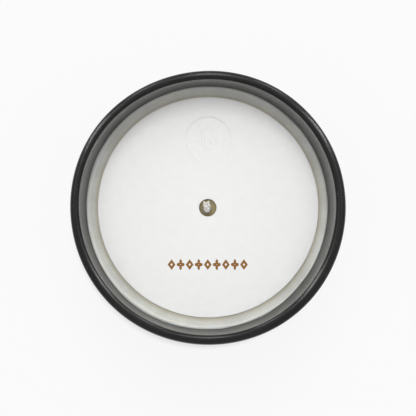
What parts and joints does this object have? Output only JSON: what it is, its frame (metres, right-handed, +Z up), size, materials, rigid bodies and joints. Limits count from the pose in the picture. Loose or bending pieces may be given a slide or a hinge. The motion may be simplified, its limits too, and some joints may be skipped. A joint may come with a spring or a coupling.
{
  "type": "container candle",
  "caption": "Round tapered tumbler of poured wax with a leaning braided wick, covered by a punched card disc that rests on the wax below a rounded lip.",
  "frame": {"origin": "middle of the foot ring's flat face, under the vessel", "axes": "+Z up along the vessel's axis, +Y towards the top of the dust cover's print, which is also the way the wick leans"},
  "size_m": [0.084, 0.084, 0.092],
  "materials": {
    "vessel_glaze": "satin",
    "candle_wax": "satin",
    "wick_cotton": "matte",
    "tinned_steel": "satin",
    "pad_foam": "matte",
    "white_card": "matte",
    "copper_foil": "satin"
  },
  "bodies": {
    "root": {"vessel": "vessel_glaze", "wax_fill": "candle_wax", "wick": "wick_cotton", "wick_sustainer": "tinned_steel", "adhesive_pad": "pad_foam", "dust_cover": "white_card"}
  },
  "joints": []
}
